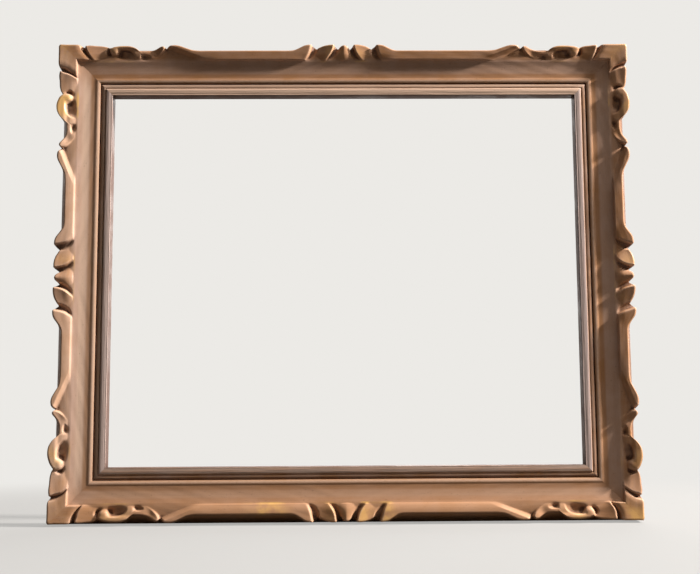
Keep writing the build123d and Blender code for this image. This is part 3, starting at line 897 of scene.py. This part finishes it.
def liner_profile():
    """Rows of the liner's face, its arrises eased, from the outer back corner to the rabbet."""
    strip_start, strip_end, strip_height = STRIP
    corner_inset, corner_height = LIP_CORNER
    lip_foot = (strip_end + LIP_STEP / 2, strip_height + LIP_STEP)
    lip_top = (corner_inset - LIP_ROUND, strip_height + LIP_STEP)
    face = [
        (strip_start - GROOVE_FILL, RABBET_HEIGHT),
        (strip_start - GROOVE_FILL, strip_height - GROOVE_DEPTH),
        (strip_start, strip_height - ARRIS),
        (strip_start + ARRIS, strip_height),
        (strip_end - LIP_STEP / 2 - ARRIS, strip_height),
        (strip_end - ARRIS, strip_height - ARRIS / 2),
        (strip_end, strip_height - ARRIS),
        (strip_end + ARRIS, strip_height + ARRIS / 2),
        (lip_foot[0], lip_foot[1] - ARRIS),
    ]
    for inset in np.linspace(lip_foot[0] + ARRIS, lip_top[0], LIP_ROWS):
        face.append((inset, float(arc_height(inset, lip_foot, lip_top, LIP_BULGE))))
    face += [
        (corner_inset - LIP_SHOULDER[0], corner_height + LIP_SHOULDER[1]),
        LIP_CORNER,
        (corner_inset + LIP_LEAN, corner_height - LIP_ROUND),
        (SIGHT - SIGHT_LEAN, LINER_RABBET_HEIGHT + ARRIS),
        (SIGHT - ARRIS, LINER_RABBET_HEIGHT),
    ]
    return face


def liner_tones(inset, height, side, on_face):
    """Where the liner's paint carries a painted shadow line at the lip's foot, a dark line in the joint
    groove that is partly painted shade, painted shade on the inner bevel, cream on the lip, painted light,
    or a cool tint.
    """
    # Painted shadow in the line at the foot of the lip, strongest on the left
    lip_shadow = LIP_SHADOW_LINE[side] * bell(inset, STRIP[1], LIP_SHADOW_SPREAD)
    # Dark line in the joint groove, partly painted shade
    strip_shade = STRIP_LINE * bell(inset, STRIP[0], STRIP_LINE_SPREAD)
    # Painted shade on the inner bevel below the lip
    shaded_bevel = soft_step((SHADED_BEVEL_TOP - height) / SHADED_BEVEL_FADE) * (inset > SHADED_BEVEL_INSET)
    lip = ramp(inset, *LIP_RAMP)
    return {
        "cavity": np.clip(lip_shadow + strip_shade + shaded_bevel, 0, 1),
        "lip": lip,
        # Painted light on the liner's face, most on the top
        "pale": np.where(on_face, LINER_PAINTED_LIGHT[side], 0 * inset),
        "cool": LINER_COOL[side] * lip * on_face,
    }


def liner_piece(side, seed):
    """One liner strip: its outer back edge, painted face, sight edge and rabbet."""
    length = SPANS[side]
    half = length / 2
    face = liner_profile()
    before = [(LINER_OUTER + BEVEL, 0), (LINER_OUTER, BEVEL), (LINER_OUTER, RABBET_HEIGHT)]
    after = [(LINER_RABBET, LINER_RABBET_HEIGHT), (LINER_RABBET, BEVEL), (LINER_RABBET - BEVEL, 0)]
    rows = np.array(before + face + after)
    lead = np.linspace(0, length, LINER_COLUMNS) - half
    along = lead[:, None] * (1 - rows[:, 0] / half)
    inset = np.tile(rows[:, 0], (len(lead), 1))
    height = np.tile(rows[:, 1], (len(lead), 1))
    number = np.arange(len(rows))
    on_face = (number > len(before)) & (number < len(before) + len(face) - SIGHT_ROWS)
    away = ramp(half - np.abs(lead), *LINER_STEADY)[:, None]
    height = height + LINER_WAVE * wobble(along * LINER_WAVE_PACE, seed) * on_face * away
    layers = liner_tones(inset, height, side, on_face)
    piece = swept_mesh(f"liner_face_{side}", side, along, inset, height, len(before) + len(face), layers)
    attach(piece, "frame")
    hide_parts(f"liner_{side}")
    return piece


# Material helpers

def linear(colour):
    """Linear RGBA of a colour given as it looks, 0 to 255."""
    parts = []
    for value in colour:
        share = value / 255
        parts.append(share / 12.92 if share <= 0.04045 else ((share + 0.055) / 1.055) ** 2.4)
    return (*parts, 1.0)


class Shader:
    """A node material with a principled shader, and short calls to add nodes to it."""

    def __init__(self, name):
        self.material = bpy.data.materials.new(name)
        self.material.use_nodes = True
        self.nodes = self.material.node_tree.nodes
        self.links = self.material.node_tree.links
        self.principled = self.nodes["Principled BSDF"]

    def feed(self, socket, value):
        if isinstance(value, bpy.types.NodeSocket):
            self.links.new(value, socket)
        else:
            socket.default_value = value

    def add(self, kind, **inputs):
        """Adds a node and feeds its inputs, named as they are in Blender, with _ for a space."""
        node = self.nodes.new(kind)
        for key, value in inputs.items():
            self.feed(node.inputs[key.replace("_", " ")], value)
        return node

    def attribute(self, name, output="Fac"):
        node = self.add("ShaderNodeAttribute")
        node.attribute_name = name
        return node.outputs[output]

    def stretched(self, vector, scale):
        return self.add("ShaderNodeMapping", Vector=vector, Scale=scale).outputs["Vector"]

    def place(self):
        return self.add("ShaderNodeTexCoord").outputs["Object"]

    def noise(self, vector, scale=1.0, detail=3.0, roughness=0.55):
        node = self.add("ShaderNodeTexNoise", Vector=vector, Scale=scale, Detail=detail, Roughness=roughness)
        return node.outputs["Fac"]

    def between(self, value, source, target=(0.0, 1.0)):
        """Value taken smoothly from the source's range to the target's."""
        ranges = {"From_Min": source[0], "From_Max": source[1], "To_Min": target[0], "To_Max": target[1]}
        node = self.add("ShaderNodeMapRange", Value=value, **ranges)
        node.interpolation_type = "SMOOTHSTEP"
        return node.outputs["Result"]

    def math(self, operation, first, second):
        node = self.nodes.new("ShaderNodeMath")
        node.operation = operation
        self.feed(node.inputs[0], first)
        self.feed(node.inputs[1], second)
        return node.outputs[0]

    def mix(self, factor, first, second):
        node = self.nodes.new("ShaderNodeMix")
        node.data_type = "RGBA"
        self.feed(node.inputs[0], factor)
        self.feed(node.inputs[6], first)
        self.feed(node.inputs[7], second)
        return node.outputs[2]

    def tint(self, colour, factor, paint, most=1.0):
        """Colour taken toward a paint by a factor, of which the share named most shows."""
        if most < 1:
            factor = self.math("MULTIPLY", factor, most)
        return self.mix(factor, colour, linear(paint))

    def bump(self, height, strength, distance=BUMP_DEPTH):
        node = self.add("ShaderNodeBump", Height=height, Strength=strength, Distance=distance)
        self.links.new(node.outputs["Normal"], self.principled.inputs["Normal"])

    def finish(self, colour, roughness, metallic=0.0, shine=0.5):
        names = ("Base Color", "Roughness", "Metallic", "Specular IOR Level")
        for name, value in zip(names, (colour, roughness, metallic, shine)):
            self.feed(self.principled.inputs[name], value)
        return self.material


# Materials

def bronzed(name, streaks):
    """Old bronze paint over gesso: cloudy tan and brown, with rosy streaks along the moulding."""
    s = Shader(name)
    along = s.attribute("along", "Vector")
    cloud = s.between(s.noise(s.place(), scale=34.0, detail=4.0), (0.35, 0.65))
    streak = s.between(s.noise(s.stretched(along, STREAK_STRETCH)), (0.38, 0.66))
    fine = s.noise(s.stretched(along, FINE_STRETCH), detail=4.0, roughness=0.65)
    speck = s.between(s.noise(s.place(), scale=900.0, detail=2.0), (0.66, 0.74))
    colour = s.tint(linear(TAN), cloud, GOLD_BROWN)
    colour = s.tint(colour, streak, ROSE, most=streaks)
    return s, colour, cloud, streak, fine, speck


def gilt_material():
    """The rails' paint: traces of gold, dirt and painted shade in the recesses, rubbed light on the edges
    and bead (on the bead partly a painted highlight), and painted light on some sides.
    """
    s, colour, cloud, streak, fine, speck = bronzed("gilt_bronze", streaks=0.14)
    patch = s.between(s.noise(s.place(), scale=70.0, detail=4.0, roughness=0.5), (0.3, 0.6))
    colour = s.tint(colour, s.attribute("warm"), GOLD_BROWN, most=0.75)
    colour = s.tint(colour, s.attribute("rose"), ROSE, most=0.5)
    # Painted light: peach on the sides that face the lamp and along the left ridge
    colour = s.tint(colour, s.attribute("pale"), PEACH)
    colour = s.tint(colour, s.attribute("brown"), BROWN, most=0.12)
    gold = s.math("MULTIPLY", s.math("ADD", s.attribute("gold"), GOLD_TRACE), patch)
    colour = s.tint(colour, s.between(gold, (0.0, 1.0)), GOLD, most=0.85)
    # Dirt and painted shade: umber in the recesses and on the outer sides
    cavity = s.math("MULTIPLY", s.attribute("cavity"), s.between(fine, (0.2, 0.7), (0.55, 1.0)))
    colour = s.tint(colour, s.between(cavity, (0.08, 1.0)), UMBER, most=0.85)
    # Rubbing on the heights and the bead, on the bead partly a painted highlight
    wear = s.math("MULTIPLY", s.attribute("wear"), s.between(fine, (0.35, 0.65), (0.6, 1.0)))
    colour = s.tint(colour, s.between(wear, (0.1, 1.6)), PEACH, most=0.64)
    colour = s.tint(colour, speck, DEEP, most=0.5)
    relief = s.math("ADD", s.math("MULTIPLY", fine, 0.6), s.math("MULTIPLY", streak, 0.2))
    s.bump(relief, strength=0.14)
    roughness = s.between(s.math("SUBTRACT", cloud, gold), (-0.5, 1.0), (0.38, 0.62))
    return s.finish(colour, roughness, s.between(gold, (0.0, 1.0), (0.0, GOLD_METAL)), PAINT_SHINE)


def liner_material():
    """The liner's paint: cream on the lip, painted shade in the lines and on the inner bevel, and painted
    light on some sides.
    """
    s, colour, cloud, streak, fine, speck = bronzed("liner_bronze", streaks=0.3)
    lip = s.math("MULTIPLY", s.attribute("lip"), s.between(streak, (0.0, 1.0), (0.9, 0.45)))
    colour = s.tint(colour, lip, CREAM)
    # Painted light: peach on the liner's face, most on the top
    colour = s.tint(colour, s.attribute("pale"), PEACH)
    colour = s.tint(colour, s.attribute("cool"), MAUVE)
    # Painted shade: umber in the lip's line, the joint groove and on the inner bevel
    colour = s.tint(colour, s.between(s.attribute("cavity"), (0.05, 0.9)), UMBER, most=0.9)
    colour = s.tint(colour, speck, DEEP, most=0.45)
    s.bump(s.math("ADD", fine, streak), strength=0.22)
    return s.finish(colour, s.between(cloud, (0.0, 1.0), (0.48, 0.66)), shine=PAINT_SHINE)


def wood_material(name, vector_name):
    """Bare softwood: streaked grain along the piece, and a little dirt."""
    s = Shader(name)
    vector = s.attribute(vector_name, "Vector") if vector_name else s.place()
    grain = s.noise(s.stretched(vector, GRAIN_STRETCH), detail=5.0, roughness=0.6)
    pores = s.noise(s.stretched(vector, PORE_STRETCH), detail=2.0)
    dirt = s.between(s.noise(s.place(), scale=22.0, detail=4.0), (0.45, 0.7))
    colour = s.tint(linear(RAW_WOOD), s.between(grain, (0.36, 0.64)), RAW_WOOD_DARK)
    colour = s.tint(colour, dirt, UMBER, most=0.35)
    colour = s.tint(colour, s.between(pores, (0.62, 0.75)), UMBER, most=0.4)
    s.bump(s.math("ADD", grain, pores), strength=0.3)
    return s.finish(colour, s.between(grain, (0.3, 0.7), (0.62, 0.8)))


def metal_material(name, bright, dark, scale, rough):
    """Dull plated metal with scratches and tarnish."""
    s = Shader(name)
    tarnish = s.between(s.noise(s.place(), scale, detail=5.0, roughness=0.65), (0.42, 0.66))
    scratch = s.noise(s.stretched(s.place(), SCRATCH_STRETCH))
    colour = s.tint(linear(bright), tarnish, dark, most=0.75)
    s.bump(scratch, strength=0.15, distance=SCRATCH_DEPTH)
    dull = s.math("ADD", tarnish, scratch)
    return s.finish(colour, s.between(dull, (0.4, 1.4), (rough, rough + TARNISH_ROUGH)), metallic=1.0)


# Pieces

gilt = gilt_material()
liner_paint = liner_material()
bare_wood = wood_material("bare_wood", "along")
spline_wood = wood_material("spline_wood", "")
brass = metal_material("aged_brass", BRASS, BRASS_DARK, scale=220.0, rough=0.3)
steel = metal_material("zinc_steel", STEEL, STEEL_DARK, scale=160.0, rough=0.34)

for number, side in enumerate(SIDES):
    rail = rail_piece(side, RAIL_SEED[0] + RAIL_SEED[1] * number)
    rail.data.materials.append(gilt)
    rail.data.materials.append(bare_wood)
    strip = liner_piece(side, LINER_SEED[0] + LINER_SEED[1] * number)
    strip.data.materials.append(liner_paint)
    strip.data.materials.append(bare_wood)

# The CAD nodes that stay get the first look whose word is in their name
NODE_LOOKS = [
    ("spline", spline_wood), ("hanger", brass), ("ring", brass), ("turn_button", steel), ("brads", steel),
]
for node_name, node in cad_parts.items():
    if node_name.endswith("_rail") or (node_name.startswith("liner_") and node_name != "liner_brads"):
        continue
    look = next(material for word, material in NODE_LOOKS if word in node_name)
    for slot in node.material_slots:
        slot.material = look


# Stage

def seen_directly(nodes, links):
    """1 for what the camera sees, also mirrored or through glass, and 0 for the light on the object."""
    path = nodes.new("ShaderNodeLightPath")
    seen = path.outputs[SEEN_RAYS[0]]
    for kind in SEEN_RAYS[1:]:
        either = nodes.new("ShaderNodeMath")
        either.operation = "MAXIMUM"
        links.new(seen, either.inputs[0])
        links.new(path.outputs[kind], either.inputs[1])
        seen = either.outputs[0]
    return seen


def floor_material():
    """Pale floor that keeps the shadow near the frame and fades to the backdrop far out."""
    s = Shader("pale_floor")
    place = s.place()
    length = s.add("ShaderNodeVectorMath", Vector=place)
    length.operation = "LENGTH"
    far = s.between(length.outputs["Value"], FLOOR_FADE, (FLOOR_GLOW, 1.0))
    camera_ray = s.add("ShaderNodeLightPath").outputs[SEEN_RAYS[0]]
    glow = s.add("ShaderNodeEmission", Color=linear(PALE))
    blend = s.add("ShaderNodeMixShader")
    s.links.new(s.math("MULTIPLY", far, camera_ray), blend.inputs[0])
    s.links.new(s.principled.outputs[0], blend.inputs[1])
    s.links.new(glow.outputs[0], blend.inputs[2])
    s.links.new(blend.outputs[0], s.nodes["Material Output"].inputs["Surface"])
    cloud = s.between(s.noise(place, scale=60.0), (0.3, 0.7))
    colour = s.tint(linear(FLOOR), cloud, CREAM, most=0.06)
    colour = s.mix(seen_directly(s.nodes, s.links), linear(FLOOR_BOUNCE), colour)
    return s.finish(colour, roughness=0.85)


def make_floor():
    corners = [(-1, -1), (1, -1), (1, 1), (-1, 1)]
    points = [(x * FLOOR_REACH, y * FLOOR_REACH, 0) for x, y in corners]
    mesh = bpy.data.meshes.new("floor")
    mesh.from_pydata(points, [], [(0, 1, 2, 3)])
    floor = bpy.data.objects.new("floor", mesh)
    floor.location = (0, 0, cad_box[0][2] - FLOOR_GAP)
    mesh.materials.append(floor_material())
    bpy.context.scene.collection.objects.link(floor)


def make_world():
    """Pale backdrop for what the camera and reflections see, and an even dim light on the rest."""
    world = bpy.data.worlds.new("studio")
    bpy.context.scene.world = world
    world.use_nodes = True
    nodes = world.node_tree.nodes
    links = world.node_tree.links
    background = nodes["Background"]
    background.inputs["Color"].default_value = linear(PALE)
    strength = nodes.new("ShaderNodeMapRange")
    strength.inputs["To Min"].default_value = AMBIENT
    links.new(seen_directly(nodes, links), strength.inputs["Value"])
    links.new(strength.outputs["Result"], background.inputs["Strength"])


def add_lamp(name, place, size, power, colour, target=(0, 0, 0)):
    lamp = bpy.data.lights.new(name, "AREA")
    lamp.shape = "SQUARE"
    lamp.size = size
    lamp.energy = power
    lamp.color = colour
    holder = bpy.data.objects.new(name, lamp)
    holder.location = place
    aim = np.array(target) - np.array(place)
    tilt = math.atan2(math.hypot(aim[0], aim[1]), -aim[2])
    turn = math.atan2(aim[1], aim[0]) - math.pi / 2
    holder.rotation_euler = (tilt, 0, turn)
    bpy.context.scene.collection.objects.link(holder)


def make_camera():
    lens = bpy.data.cameras.new("camera")
    lens.sensor_width = SENSOR_WIDTH
    lens.sensor_fit = "HORIZONTAL"
    lens.lens = LENS
    camera = bpy.data.objects.new("camera", lens)
    camera.location = CAMERA_PLACE
    camera.rotation_euler = [math.radians(angle) for angle in CAMERA_TURN]
    bpy.context.scene.collection.objects.link(camera)
    bpy.context.scene.camera = camera


make_floor()
make_world()
add_lamp("key", (2.6, -0.41, 1.48), size=0.18, power=285.0, colour=KEY_COLOUR, target=(0, -0.03, 0))
add_lamp("front_fill", (1.4, -0.6, 2.37), size=0.9, power=46.0, colour=FILL_COLOUR)
add_lamp("back_fill", (0.6, 2.2, 0.8), size=1.6, power=26.0, colour=FILL_COLOUR)
make_camera()
bpy.context.scene.view_settings.view_transform = "Standard"
